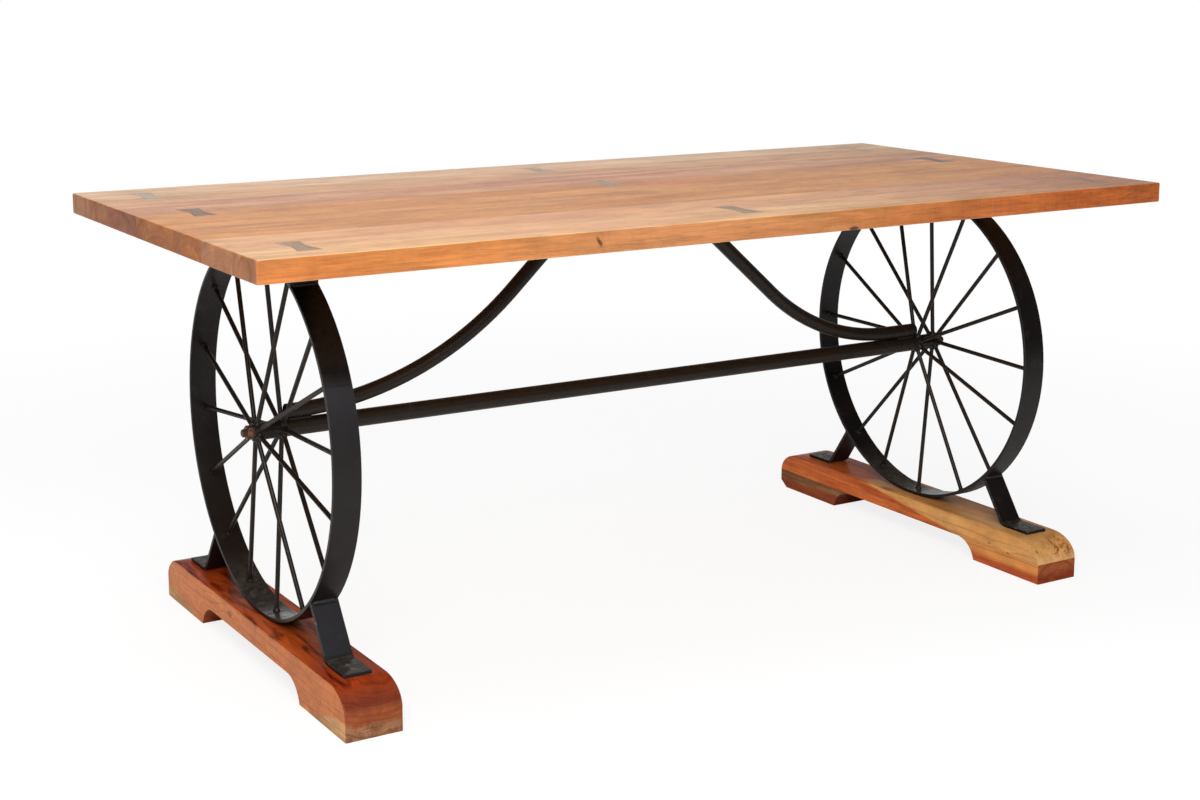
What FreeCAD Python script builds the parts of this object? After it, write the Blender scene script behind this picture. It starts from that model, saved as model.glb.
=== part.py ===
import FreeCAD, Part
import math
import os

# Wagon wheel table, in millimetres. +Z is up, X runs along the table and Y across it.
# The origin is on the floor under the middle of the top.
# "left" and "right" are the -X and +X ends, "near" and "far" the -Y and +Y sides.

# Top
TOP_LENGTH = 1800.0
TOP_WIDTH = 880.0
TOP_HEIGHT = 760.0
TOP_THICKNESS = 36.0
TOP_CORNER_RADIUS = 4.0
TOP_EDGE_RADIUS = 2.5
GLUE_LINES = (-345.0, -217.0, -100.0, 85.0, 225.0, 335.0)   # Y of the joints between the planks

# Butterfly keys, three on each of three glue lines
KEY_PLACES = {                # X of the keys on each line
    GLUE_LINES[0]: (-797.0, -5.0, 811.0),
    GLUE_LINES[3]: (-797.0, -5.0, 800.0),
    GLUE_LINES[5]: (-797.0, -5.0, 798.0),
}
KEY_LENGTH = 92.0
KEY_END_WIDTH = 41.0
KEY_WAIST_WIDTH = 25.0
KEY_DEPTH = 12.0

# Feet: a full-length beam glued on top of two end blocks
FOOT_REACH = {                # from under the axle to each end of the foot
    "left": {"near": 400.0, "far": 404.0},
    "right": {"near": 400.0, "far": 413.0},
}
FOOT_WIDTH = 97.0
BLOCK_HEIGHT = 38.0
BEAM_HEIGHT = 41.0
NOSE_LENGTH = 60.0            # run of the elliptical nose at each end of the beam
BEAM_CHAMFER = 2.0            # along the upper edges and round the noses
BLOCK_EDGE_RADIUS = 3.0
HAUNCH_RADIUS = 50.0          # hollow curve of a block's inner end
HAUNCH_START = 172.0          # Y where that curve would meet the underside of the beam
FEATHER_CUT = 6.0             # its thin tip stops this far short
BEVELLED_BLOCK = ("right", "far")                  # its lower outer corner is cut away
BEVEL_LENGTH = 22.0
BEVEL_HEIGHT = 16.0

# Wheels, from flat bar
WHEEL_X = 715.0
BAR_WIDTH = 48.0              # also the width of straps, struts and top bars
RIM_RADIUS = 318.5
RIM_THICKNESS = 6.0
SPOKE_RADIUS = 4.0
SPOKE_SPREAD = 22.0           # from the wheel's middle plane to the middle of a spoke's root

# Spokes are spaced by eye. A set's turn is in degrees from +Y to its first spoke, and its slips
# say how far each spoke stands from even spacing after that one.
OUTER_SET_TURN = {"left": 18.8, "right": -0.5}
INNER_SET_TURN = {"left": -3.7, "right": 22.0}
OUTER_SET_SLIPS = {
    "left": (-2.0, 0.5, 2.5, 0.0, -0.5, 1.0, 1.5, 0.0),
    "right": (2.0, 5.0, 2.0, 0.0, 1.0, 3.0, 1.0, -3.5),
}
INNER_SET_SLIPS = {
    "left": (-0.5, 0.0, 3.0, 3.0, 0.0, -1.0, 1.5, 0.5),
    "right": (5.0, 5.0, 0.0, 0.0, 1.0, -1.0, 0.0, -1.0),
}

# Hubs, stretcher, tie rod and nuts
HUB_RADIUS = 15.0
HUB_LENGTH = 56.0
HUB_BORE_RADIUS = 7.5
STRETCHER_RADIUS = 15.0
STRETCHER_WALL = 2.5
ROD_RADIUS = 7.0
ROD_CHAMFER = 1.5
ROD_STAND_OUT = 7.0           # rod beyond the nut
NUT_FLATS = 21.0
NUT_THICKNESS = 13.0
NUT_TURN = 12.0               # degrees from +Y to a corner of the hexagon

# Braces, from round tube bent once
BRACE_RADIUS = 13.0
BRACE_WALL = 2.0
BRACE_FOOT_X = 685.0          # the open end, on the stretcher
BRACE_HEAD_X = 111.0          # where the centre line meets the underside of the top
BRACE_SLOPE = {"left": 43.2, "right": 41.7}        # degrees above level
BRACE_BEND_RADIUS = {"left": 620.0, "right": 435.0}
PLATE_LENGTH = 110.0
PLATE_WIDTH = 60.0
PLATE_THICKNESS = 6.0

# Straps, struts and top bars
STRAP_THICKNESS = 6.0
STRAP_RISE = 55.2             # degrees above level of the leg of the strap
STRAP_KNEE = 270.7            # Y of the knee of its centre line
STRAP_BEND_RADIUS = 18.0
STRAP_TOE = 342.0             # Y of the toe's end
TOP_BAR_HALF_LENGTH = 342.0
STRUT_FACE = {"left": 168.0, "right": 156.0}       # Y of a strut's outward face
STRUT_THICKNESS = 6.0

# Wood screws, as plain bodies without thread, point or slot
SHANK_RADIUS = 2.5
HEAD_RADIUS = 4.75
SUNK_HEAD_HEIGHT = 3.0        # in the straps, countersunk flush
PAN_HEAD_HEIGHT = 2.5         # under the top, standing on the metal
STRAP_SCREW_LENGTH = 32.0
TOP_SCREW_LENGTH = 30.0
STRAP_SCREW_ROWS = (305.0, 325.0)
TOP_BAR_SCREW_ROWS = (225.0, 315.0)
PLATE_SCREW_X = 42.0          # from the middle of a brace plate

# Levels and stations that follow from the sizes above
V = FreeCAD.Vector
UP = V(0, 0, 1)
ALONG = V(1, 0, 0)
TOP_UNDERSIDE = TOP_HEIGHT - TOP_THICKNESS
FOOT_HEIGHT = BLOCK_HEIGHT + BEAM_HEIGHT
AXLE_HEIGHT = FOOT_HEIGHT + RIM_RADIUS
RIM_CROWN = AXLE_HEIGHT + RIM_RADIUS
RIM_INNER_RADIUS = RIM_RADIUS - RIM_THICKNESS
HUB_INNER_END = WHEEL_X - HUB_LENGTH / 2
HUB_OUTER_END = WHEEL_X + HUB_LENGTH / 2
ROD_END = HUB_OUTER_END + NUT_THICKNESS + ROD_STAND_OUT
BRACE_FOOT_LEVEL = AXLE_HEIGHT + STRETCHER_RADIUS + BRACE_RADIUS
PLATE_LEVEL = TOP_UNDERSIDE - PLATE_THICKNESS
STRAP_TOP = FOOT_HEIGHT + STRAP_THICKNESS
SUNK_HEAD = [V(0, 0, 0), V(HEAD_RADIUS, 0, 0), V(SHANK_RADIUS, 0, SUNK_HEAD_HEIGHT)]
PAN_HEAD = [V(0, 0, -PAN_HEAD_HEIGHT), V(HEAD_RADIUS, 0, -PAN_HEAD_HEIGHT), V(HEAD_RADIUS, 0, 0),
            V(SHANK_RADIUS, 0, 0)]
SIDES = {"left": -1, "right": 1}
ENDS = {"near": -1, "far": 1}


def block(low, high):
    return Part.makeBox(high.x - low.x, high.y - low.y, high.z - low.z, low)


def prism(outline, run):
    """Solid made by moving a closed outline of points along run."""
    return Part.Face(Part.makePolygon([*outline, outline[0]])).extrude(run)


def rod(start, end, radius):
    run = end - start
    return Part.makeCylinder(radius, run.Length, start, run)


def wheel_disc(side, radius, width):
    """Disc about the axle, centred on one wheel."""
    centre = V(side * WHEEL_X, 0, AXLE_HEIGHT)
    return rod(centre - ALONG * (width / 2), centre + ALONG * (width / 2), radius)


def straight_edges(solid, direction):
    """The solid's straight edges that lie along one direction."""
    chosen = []
    for edge in solid.Edges:
        if edge.Curve.TypeId == "Part::GeomLine":
            run = edge.Vertexes[-1].Point - edge.Vertexes[0].Point
            if abs(run.normalize().dot(direction)) > 0.999:
                chosen.append(edge)
    return chosen


def bent_bar(section, start, knee, end, radius):
    """Section face standing at start, carried straight, round one bend, and straight to end."""
    ahead = (knee - start).normalize()
    onward = (end - knee).normalize()
    turn = ahead.getAngle(onward)
    setback = radius * math.tan(turn / 2)
    first_run = knee - ahead * setback - start
    last_run = end - onward * setback - knee
    inward = (onward - ahead * ahead.dot(onward)).normalize()
    centre = start + first_run + inward * radius
    axis = ahead.cross(inward)
    at_bend = section.translated(first_run)
    past_bend = at_bend.rotated(centre, axis, math.degrees(turn))
    bend = at_bend.revolve(centre, axis, math.degrees(turn))
    return section.extrude(first_run).fuse([bend, past_bend.extrude(last_run)])


# Screws

def screw(seat, drive, length, head):
    """Screw seated at a point of a metal face, its shank along drive and its head an outline in XZ."""
    outline = [*head, V(SHANK_RADIUS, 0, length), V(0, 0, length)]
    solid = Part.Face(Part.makePolygon([*outline, outline[0]])).revolve(V(0, 0, 0), UP, 360)
    solid.Placement = FreeCAD.Placement(seat, FreeCAD.Rotation(UP, drive))
    return solid


def strap_screw_places(side, end):
    return [(V(side * WHEEL_X, end * y, STRAP_TOP), -UP, STRAP_SCREW_LENGTH, SUNK_HEAD)
            for y in STRAP_SCREW_ROWS]


def foot_screw_places(side):
    return strap_screw_places(side, -1) + strap_screw_places(side, 1)


def top_bar_screw_places(side):
    return [(V(side * WHEEL_X, end * y, RIM_CROWN), UP, TOP_SCREW_LENGTH, PAN_HEAD)
            for end in (-1, 1) for y in TOP_BAR_SCREW_ROWS]


def plate_middle(name):
    """X of the middle of a brace plate: where the brace's centre line meets the plate."""
    return SIDES[name] * (BRACE_HEAD_X + PLATE_THICKNESS / math.tan(math.radians(BRACE_SLOPE[name])))


def plate_screw_places(name):
    middle = plate_middle(name)
    return [(V(middle + x, 0, PLATE_LEVEL), UP, TOP_SCREW_LENGTH, PAN_HEAD)
            for x in (-PLATE_SCREW_X, PLATE_SCREW_X)]


def drilled(solid, places):
    """Solid with the holes that its screws fill."""
    return solid.cut([screw(*place) for place in places])


def screw_group(place_lists):
    return Part.makeCompound([screw(*place) for places in place_lists for place in places])


# Top

def butterfly_key(x, y):
    """Bow-tie key let into the top across a glue line, flush with its face."""
    half = KEY_LENGTH / 2
    end = KEY_END_WIDTH / 2
    waist = KEY_WAIST_WIDTH / 2
    outline = [V(-end, -half, 0), V(end, -half, 0), V(waist, 0, 0), V(end, half, 0), V(-end, half, 0),
               V(-waist, 0, 0)]
    key = prism(outline, V(0, 0, KEY_DEPTH))
    key.translate(V(x, y, TOP_HEIGHT - KEY_DEPTH))
    return key


def butterfly_keys():
    return Part.makeCompound([butterfly_key(x, y) for y, row in KEY_PLACES.items() for x in row])


def blank_top():
    """The top as one slab, with rounded corners and eased edges."""
    corner = V(TOP_LENGTH / 2, TOP_WIDTH / 2, 0)
    slab = block(V(0, 0, TOP_UNDERSIDE) - corner, V(0, 0, TOP_HEIGHT) + corner)
    slab = slab.makeFillet(TOP_CORNER_RADIUS, straight_edges(slab, UP))
    flats = [face for face in slab.Faces if abs(face.normalAt(0, 0).z) > 0.999]
    return slab.makeFillet(TOP_EDGE_RADIUS, [edge for face in flats for edge in face.Edges])


def top_planks():
    """Planks from near to far, cut from the blank top along the glue lines."""
    top = blank_top().cut(butterfly_keys().Solids)
    for name, side in SIDES.items():
        top = drilled(top, top_bar_screw_places(side) + plate_screw_places(name))
    bounds = (-TOP_WIDTH, *GLUE_LINES, TOP_WIDTH)
    strips = [block(V(-TOP_LENGTH, low, 0), V(TOP_LENGTH, high, TOP_HEIGHT + TOP_THICKNESS))
              for low, high in zip(bounds, bounds[1:])]
    return {f"top_plank_{i + 1}": top.common(strip).Solids[0] for i, strip in enumerate(strips)}


# Feet

def nose_curve(name, end_name):
    """Quarter ellipse from the beam's lower end up to its top face."""
    end = ENDS[end_name]
    centre = V(0, end * (FOOT_REACH[name][end_name] - NOSE_LENGTH), BLOCK_HEIGHT)
    ellipse = Part.Ellipse(centre + V(0, end * NOSE_LENGTH, 0), centre + V(0, 0, BEAM_HEIGHT), centre)
    return ellipse.toShape(0, math.pi / 2)


def foot_beam(name):
    near, far = -FOOT_REACH[name]["near"], FOOT_REACH[name]["far"]
    bottom = Part.LineSegment(V(0, near, BLOCK_HEIGHT), V(0, far, BLOCK_HEIGHT)).toShape()
    top_ends = V(0, far - NOSE_LENGTH, FOOT_HEIGHT), V(0, near + NOSE_LENGTH, FOOT_HEIGHT)
    top = Part.LineSegment(*top_ends).toShape()
    outline = Part.Wire([bottom, nose_curve(name, "far"), top, nose_curve(name, "near")])
    beam = Part.Face(outline).extrude(V(FOOT_WIDTH, 0, 0))
    side_edges = [edge for edge in beam.Edges if edge.BoundBox.XLength < 1]
    upper_edges = [edge for edge in side_edges if edge.BoundBox.ZMax > BLOCK_HEIGHT + 1]
    beam = beam.makeChamfer(BEAM_CHAMFER, upper_edges)
    beam.translate(V(SIDES[name] * WHEEL_X - FOOT_WIDTH / 2, 0, 0))
    return drilled(beam, foot_screw_places(SIDES[name]))


def foot_block(name, end_name):
    """End block under the beam, hollowed at its inner end and standing on the floor."""
    outer = FOOT_REACH[name][end_name]
    inner = HAUNCH_START + FEATHER_CUT
    across = V(FOOT_WIDTH, 0, 0)
    haunch_centre = V(0, HAUNCH_START, BLOCK_HEIGHT - HAUNCH_RADIUS)
    solid = block(V(0, inner, 0), V(FOOT_WIDTH, outer, BLOCK_HEIGHT))
    end_edges = [edge for edge in straight_edges(solid, UP) if edge.BoundBox.YMin > inner + 1]
    solid = solid.makeFillet(BLOCK_EDGE_RADIUS, end_edges)
    solid = solid.cut(rod(haunch_centre, haunch_centre + across, HAUNCH_RADIUS))
    if (name, end_name) == BEVELLED_BLOCK:
        corner = [V(0, outer, 0), V(0, outer - BEVEL_LENGTH, 0), V(0, outer, BEVEL_HEIGHT)]
        solid = solid.cut(prism(corner, across))
    if end_name == "near":
        solid = solid.mirror(V(0, 0, 0), V(0, 1, 0))
    solid.translate(V(SIDES[name] * WHEEL_X - FOOT_WIDTH / 2, 0, 0))
    return solid


# Wheels

def rim(side):
    """Flat bar rolled into a ring."""
    return wheel_disc(side, RIM_RADIUS, BAR_WIDTH).cut(wheel_disc(side, RIM_INNER_RADIUS, 2 * BAR_WIDTH))


def spoke(side, root_shift, degrees):
    """Raked rod from one end of the hub to the middle of the rim, trimmed to both curves."""
    angle = math.radians(degrees)
    outward = V(0, math.cos(angle), math.sin(angle))
    root = V(side * WHEEL_X + root_shift, 0, AXLE_HEIGHT) + outward * HUB_RADIUS
    tip = V(side * WHEEL_X, 0, AXLE_HEIGHT) + outward * RIM_INNER_RADIUS
    run = (tip - root).normalize()
    return rod(root - run * SPOKE_RADIUS, tip + run * SPOKE_RADIUS, SPOKE_RADIUS)


def spoke_set(side, root_shift, turn, slips):
    """Every other spoke of a wheel: those rooted at one end of the hub."""
    step = 360.0 / len(slips)
    turns = [turn + i * step + slip for i, slip in enumerate(slips)]
    rods = Part.makeCompound([spoke(side, root_shift, degrees) for degrees in turns])
    room = wheel_disc(side, RIM_INNER_RADIUS, 2 * BAR_WIDTH).cut(wheel_disc(side, HUB_RADIUS, 4 * BAR_WIDTH))
    return rods.common(room)


def hub(side):
    """Short thick tube between the stretcher's end and the nut."""
    start = V(side * HUB_INNER_END, 0, AXLE_HEIGHT)
    end = V(side * HUB_OUTER_END, 0, AXLE_HEIGHT)
    return rod(start, end, HUB_RADIUS).cut(rod(start, end, HUB_BORE_RADIUS))


# Stretcher, tie rod and nuts

def stretcher():
    start = V(-HUB_INNER_END, 0, AXLE_HEIGHT)
    end = V(HUB_INNER_END, 0, AXLE_HEIGHT)
    return rod(start, end, STRETCHER_RADIUS).cut(rod(start, end, STRETCHER_RADIUS - STRETCHER_WALL))


def tie_rod():
    """Rod through both hubs and the stretcher, with chamfered ends."""
    solid = rod(V(-ROD_END, 0, AXLE_HEIGHT), V(ROD_END, 0, AXLE_HEIGHT), ROD_RADIUS)
    end_edges = [edge for edge in solid.Edges if abs(edge.BoundBox.Center.x) > ROD_END - 1]
    return solid.makeChamfer(ROD_CHAMFER, end_edges)


def nut(side):
    """Hexagon nut with its corners turned off at the outward end."""
    corner_radius = NUT_FLATS / math.sqrt(3)
    shoulder = corner_radius - NUT_FLATS / 2
    seat = V(side * HUB_OUTER_END, 0, AXLE_HEIGHT)
    run = V(side * NUT_THICKNESS, 0, 0)
    angles = [math.radians(60 * i + NUT_TURN) for i in range(6)]
    outline = [seat + V(0, math.cos(a), math.sin(a)) * corner_radius for a in angles]
    turned_blank = rod(seat, seat + run, corner_radius)
    face_x = HUB_OUTER_END + NUT_THICKNESS
    outer_edges = [edge for edge in turned_blank.Edges if abs(edge.CenterOfMass.x) > face_x - 1]
    solid = prism(outline, run).common(turned_blank.makeChamfer(shoulder, outer_edges))
    return solid.cut(rod(seat, seat + run, ROD_RADIUS))


# Braces

def brace(name):
    """Tube lying on the stretcher at its open end, bent up to the plate under the top."""
    side = SIDES[name]
    rise = TOP_UNDERSIDE - BRACE_FOOT_LEVEL
    run = rise / math.tan(math.radians(BRACE_SLOPE[name]))
    start = V(side * BRACE_FOOT_X, 0, BRACE_FOOT_LEVEL)
    knee = V(side * (BRACE_HEAD_X + run), 0, BRACE_FOOT_LEVEL)
    head = V(side * BRACE_HEAD_X, 0, TOP_UNDERSIDE)
    end = head + (head - knee).normalize() * BRACE_RADIUS * 2
    outside, inside = [Part.Face(Part.Wire(Part.makeCircle(radius, start, ALONG)))
                       for radius in (BRACE_RADIUS, BRACE_RADIUS - BRACE_WALL)]
    ring = outside.cut(inside).Faces[0]
    tube = bent_bar(ring, start, knee, end, BRACE_BEND_RADIUS[name])
    beyond_plate = block(head + V(-PLATE_LENGTH, -PLATE_WIDTH, -PLATE_THICKNESS),
                         head + V(PLATE_LENGTH, PLATE_WIDTH, TOP_THICKNESS))
    return tube.cut(beyond_plate)


def brace_plate(name):
    middle = plate_middle(name)
    low = V(middle - PLATE_LENGTH / 2, -PLATE_WIDTH / 2, PLATE_LEVEL)
    plate = block(low, low + V(PLATE_LENGTH, PLATE_WIDTH, PLATE_THICKNESS))
    return drilled(plate, plate_screw_places(name))


# Straps, struts and top bars

def strap(side, end):
    """Flat bar from the outside of the rim down to a screwed toe on the foot."""
    rise = math.radians(STRAP_RISE)
    level = FOOT_HEIGHT + STRAP_THICKNESS / 2
    knee = V(side * WHEEL_X, end * STRAP_KNEE, level)
    toe = V(side * WHEEL_X, end * STRAP_TOE, level)
    head = knee + V(0, -end * math.cos(rise), math.sin(rise)) * RIM_RADIUS / 2
    half = V(BAR_WIDTH / 2, 0, STRAP_THICKNESS / 2)
    across = V(BAR_WIDTH / 2, 0, -STRAP_THICKNESS / 2)
    section = Part.Face(Part.makePolygon([toe + half, toe + across, toe - half, toe - across, toe + half]))
    bar = bent_bar(section, toe, knee, head, STRAP_BEND_RADIUS)
    solid = bar.cut(wheel_disc(side, RIM_RADIUS, 2 * BAR_WIDTH))
    return drilled(solid, strap_screw_places(side, end))


def top_bar(side):
    """Flat bar across the planks, on the crown of the rim."""
    half = V(BAR_WIDTH / 2, TOP_BAR_HALF_LENGTH, 0)
    middle = V(side * WHEEL_X, 0, 0)
    bar = block(middle - half + V(0, 0, RIM_CROWN), middle + half + V(0, 0, TOP_UNDERSIDE))
    return drilled(bar, top_bar_screw_places(side))


def strut(name, end):
    """Upright flat bar from the top bar down to the rim's outer face."""
    side = SIDES[name]
    faces = sorted((end * STRUT_FACE[name], end * (STRUT_FACE[name] - STRUT_THICKNESS)))
    low = V(side * WHEEL_X - BAR_WIDTH / 2, faces[0], AXLE_HEIGHT)
    high = V(side * WHEEL_X + BAR_WIDTH / 2, faces[1], RIM_CROWN)
    return block(low, high).cut(wheel_disc(side, RIM_RADIUS, 2 * BAR_WIDTH))


def whole_table():
    """Every piece by its node name."""
    pieces = top_planks()
    pieces["butterfly_keys"] = butterfly_keys()
    pieces["stretcher"] = stretcher()
    pieces["tie_rod"] = tie_rod()
    for name, side in SIDES.items():
        pieces[f"{name}_rim"] = rim(side)
        outer_root = side * SPOKE_SPREAD
        outer_set = spoke_set(side, outer_root, OUTER_SET_TURN[name], OUTER_SET_SLIPS[name])
        inner_set = spoke_set(side, -outer_root, INNER_SET_TURN[name], INNER_SET_SLIPS[name])
        pieces[f"{name}_outer_spokes"] = outer_set
        pieces[f"{name}_inner_spokes"] = inner_set
        pieces[f"{name}_hub"] = hub(side)
        pieces[f"{name}_nut"] = nut(side)
        pieces[f"{name}_brace"] = brace(name)
        pieces[f"{name}_brace_plate"] = brace_plate(name)
        pieces[f"{name}_top_bar"] = top_bar(side)
        pieces[f"{name}_foot_beam"] = foot_beam(name)
        for end_name, end in ENDS.items():
            pieces[f"{name}_{end_name}_foot_block"] = foot_block(name, end_name)
            pieces[f"{name}_{end_name}_strap"] = strap(side, end)
            pieces[f"{name}_{end_name}_strut"] = strut(name, end)
    pieces["strap_screws"] = screw_group([foot_screw_places(side) for side in SIDES.values()])
    pieces["top_bar_screws"] = screw_group([top_bar_screw_places(side) for side in SIDES.values()])
    pieces["brace_plate_screws"] = screw_group([plate_screw_places(name) for name in SIDES])
    return pieces


os.makedirs("parts", exist_ok=True)
for node, shape in whole_table().items():
    shape.exportStep(f"parts/{node}.step")
    print(node, len(shape.Solids), round(shape.Volume), shape.isValid())
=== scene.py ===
import math
import random

import bmesh
import bpy
from mathutils import Matrix, Vector


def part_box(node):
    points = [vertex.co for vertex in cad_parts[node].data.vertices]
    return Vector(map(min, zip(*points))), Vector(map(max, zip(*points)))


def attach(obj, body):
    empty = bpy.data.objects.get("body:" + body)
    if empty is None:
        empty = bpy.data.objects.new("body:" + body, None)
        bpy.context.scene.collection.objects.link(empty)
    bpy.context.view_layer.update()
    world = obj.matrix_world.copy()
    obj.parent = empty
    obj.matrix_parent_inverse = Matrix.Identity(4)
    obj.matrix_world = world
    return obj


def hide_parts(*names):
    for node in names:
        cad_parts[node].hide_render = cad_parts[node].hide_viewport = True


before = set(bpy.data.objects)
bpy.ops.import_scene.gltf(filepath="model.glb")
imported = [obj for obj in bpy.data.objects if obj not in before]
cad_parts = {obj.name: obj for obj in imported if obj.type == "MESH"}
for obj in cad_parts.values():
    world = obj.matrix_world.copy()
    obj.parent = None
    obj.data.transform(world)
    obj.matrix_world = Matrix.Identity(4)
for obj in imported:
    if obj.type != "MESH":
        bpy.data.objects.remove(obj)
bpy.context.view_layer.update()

mm = 0.001
chance = random.Random(17)
wheelSides = {"left": -1, "right": 1}
footEnds = {"near": -1, "far": 1}
barThickness = 6 * mm   # of the wheels' flat bar
mergeReach = 0.01 * mm  # vertices closer than this are one
touch = 0.3 * mm        # points this near a surface or an end lie on it
sharpAngle = 28         # degrees at an edge that gets eased
smoothAngles = {"eased": 34, "screw": 35, "thread": 40, "weld": 60}  # for each kind of piece

# levels and stations read from the CAD parts
rimLow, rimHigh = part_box("left_rim")
beamLow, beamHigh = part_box("left_foot_beam")
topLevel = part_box("top_plank_1")[1].z
wheelX = -(rimLow.x + rimHigh.x) / 2
axleHeight = (rimLow.z + rimHigh.z) / 2
rimRadius = (rimHigh.z - rimLow.z) / 2
rimInner = rimRadius - barThickness
barWidth = rimHigh.x - rimLow.x
hubRadius = (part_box("stretcher")[1].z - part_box("stretcher")[0].z) / 2
seamHeight = axleHeight + 130 * mm  # of the welded joint in the left rim, on its near side


class Wire:
    # one output socket of a node graph, with the arithmetic that its shader maths needs
    def __init__(self, graph, socket):
        self.graph = graph
        self.socket = socket

    def __add__(self, other):
        return self.graph.maths("ADD", self, other)

    def __sub__(self, other):
        return self.graph.maths("SUBTRACT", self, other)

    def __rsub__(self, other):
        return self.graph.maths("SUBTRACT", other, self)

    def __mul__(self, other):
        return self.graph.maths("MULTIPLY", self, other)

    def __truediv__(self, other):
        return self.graph.maths("DIVIDE", self, other)

    def __rtruediv__(self, other):
        return self.graph.maths("DIVIDE", other, self)

    def __pow__(self, other):
        return self.graph.maths("POWER", self, other)

    def __abs__(self):
        return self.graph.maths("ABSOLUTE", self)

    __radd__ = __add__
    __rmul__ = __mul__


class Graph:
    # a node tree that is filled by calls
    def __init__(self, tree):
        self.tree = tree
        tree.nodes.clear()

    def node(self, kind, settings=None, sockets=None, output=0):
        made = self.tree.nodes.new("ShaderNode" + kind)
        for key, value in (settings or {}).items():
            setattr(made, key, value)
        for key, value in (sockets or {}).items():
            if isinstance(value, Wire):
                self.tree.links.new(value.socket, made.inputs[key])
            else:
                made.inputs[key].default_value = value
        return Wire(self, made.outputs[output]) if made.outputs else None

    def maths(self, operation, *values):
        return self.node("Math", {"operation": operation}, dict(enumerate(values)))

    def smooth(self, value, low, high):
        # 0 at low, 1 at high, with soft ends; low may be the larger
        sockets = {"Value": value, "From Min": low, "From Max": high}
        return self.node("MapRange", {"interpolation_type": "SMOOTHSTEP"}, sockets)

    def mix(self, factor, first, second, way="MIX"):
        settings = {"data_type": "RGBA", "blend_type": way, "clamp_factor": True}
        return self.node("Mix", settings, {0: factor, 6: first, 7: second}, output=2)

    def shaded(self, colour, amount):
        # a colour times a grey level that changes over the surface
        grey = self.node("CombineColor", {}, {0: amount, 1: amount, 2: amount})
        return self.mix(1.0, colour, grey, "MULTIPLY")

    def vector(self, operation, first, second):
        return self.node("VectorMath", {"operation": operation}, {0: first, 1: second})

    def length(self, vector):
        return self.node("VectorMath", {"operation": "LENGTH"}, {0: vector}, output="Value")

    def parts(self, vector):
        # the three numbers of a vector
        outputs = self.node("SeparateXYZ", {}, {0: vector}).socket.node.outputs
        return [Wire(self, output) for output in outputs]

    def noise(self, place, stretch, seed=0.0, detail=2.0, rough=0.5, swirl=0.0):
        # stretch is in bumps per metre along, across and up
        spread = self.vector("MULTIPLY", place, stretch)
        moved = self.vector("ADD", spread, (seed * 3.1, seed * 7.7, seed * 5.3))
        sockets = {"Vector": moved, "Scale": 1.0, "Detail": detail, "Roughness": rough,
                   "Distortion": swirl}
        return self.node("TexNoise", {}, sockets)

    def wander(self, place, stretch, seed, spread, **more):
        # noise about zero
        return (self.noise(place, stretch, seed, **more) - 0.5) * spread

    def bands(self, value, seed=0.0, detail=1.0):
        # uneven bands along one running number
        sockets = {"W": value + seed, "Scale": 1.0, "Detail": detail, "Roughness": 0.5}
        return self.node("TexNoise", {"noise_dimensions": "1D"}, sockets)


def paint(red, green, blue):
    # display values from 0 to 255, as the linear colour that a shader takes
    def linear(level):
        level = level / 255
        return level / 12.92 if level <= 0.04045 else ((level + 0.055) / 1.055) ** 2.4
    return (linear(red), linear(green), linear(blue), 1.0)


def finishGraph(name):
    material = bpy.data.materials.new(name)
    material.use_nodes = True
    return material, Graph(material.node_tree)


def closeFinish(graph, colour, roughness, height, bumpDepth, constants):
    # the one surface shader of a finish; constants are the same all over it
    normal = graph.node("Bump", {}, {"Strength": 1.0, "Distance": bumpDepth, "Height": height})
    sockets = {"Base Color": colour, "Roughness": roughness, "Normal": normal}
    surface = graph.node("BsdfPrincipled", {}, {**sockets, **constants})
    graph.node("OutputMaterial", {}, {"Surface": surface})


# Timber

def woodTones(pale, deep, ring, flush):
    # the four tones of a wood: its ground, its streaks, its late wood and the redder patches
    return {"pale": paint(*pale), "deep": paint(*deep), "ring": paint(*ring), "flush": paint(*flush)}


timberLook = {
    "thinScale": (5, 210, 210),  # bumps per metre along, across and up
    "blotchScale": (1.6, 7, 7),
    "curlScale": (26, 5, 5),
    "fibreScale": (18, 480, 480),
    "poreScale": (45, 1100, 1100),
    "mottleScale": (24, 52, 52),
    "chatterScale": (170, 3, 9),
    "knotScale": (70, 160, 160),
    "fibreDepth": 0.20,          # how far fine fibres darken the wood
    "poreDepth": 0.22,
    "curlDepth": 0.16,
    "chatterDepth": 0.08,
    "knotDepth": 0.85,
    "arrisShadeDepth": 0.26,          # painted shade in a thin line just under the edge of the top
    "arrisShadeBand": (2.0 * mm, 0.6 * mm),
    "jointDepth": 0.28,          # glue lines between planks
    "jointBand": (0.15 * mm, 0.7 * mm),
    "glueDepth": 0.38,           # and between the layers of a foot
    "glueBand": (0.2 * mm, 0.9 * mm),
    "bump": 0.12 * mm,
    "coatRoughness": 0.25,
    "mottleDepth": 0.0, "mottleAndShadeRight": 0.0, "chatterRight": 0.0, "knots": [], "bands": [],
}


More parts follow.
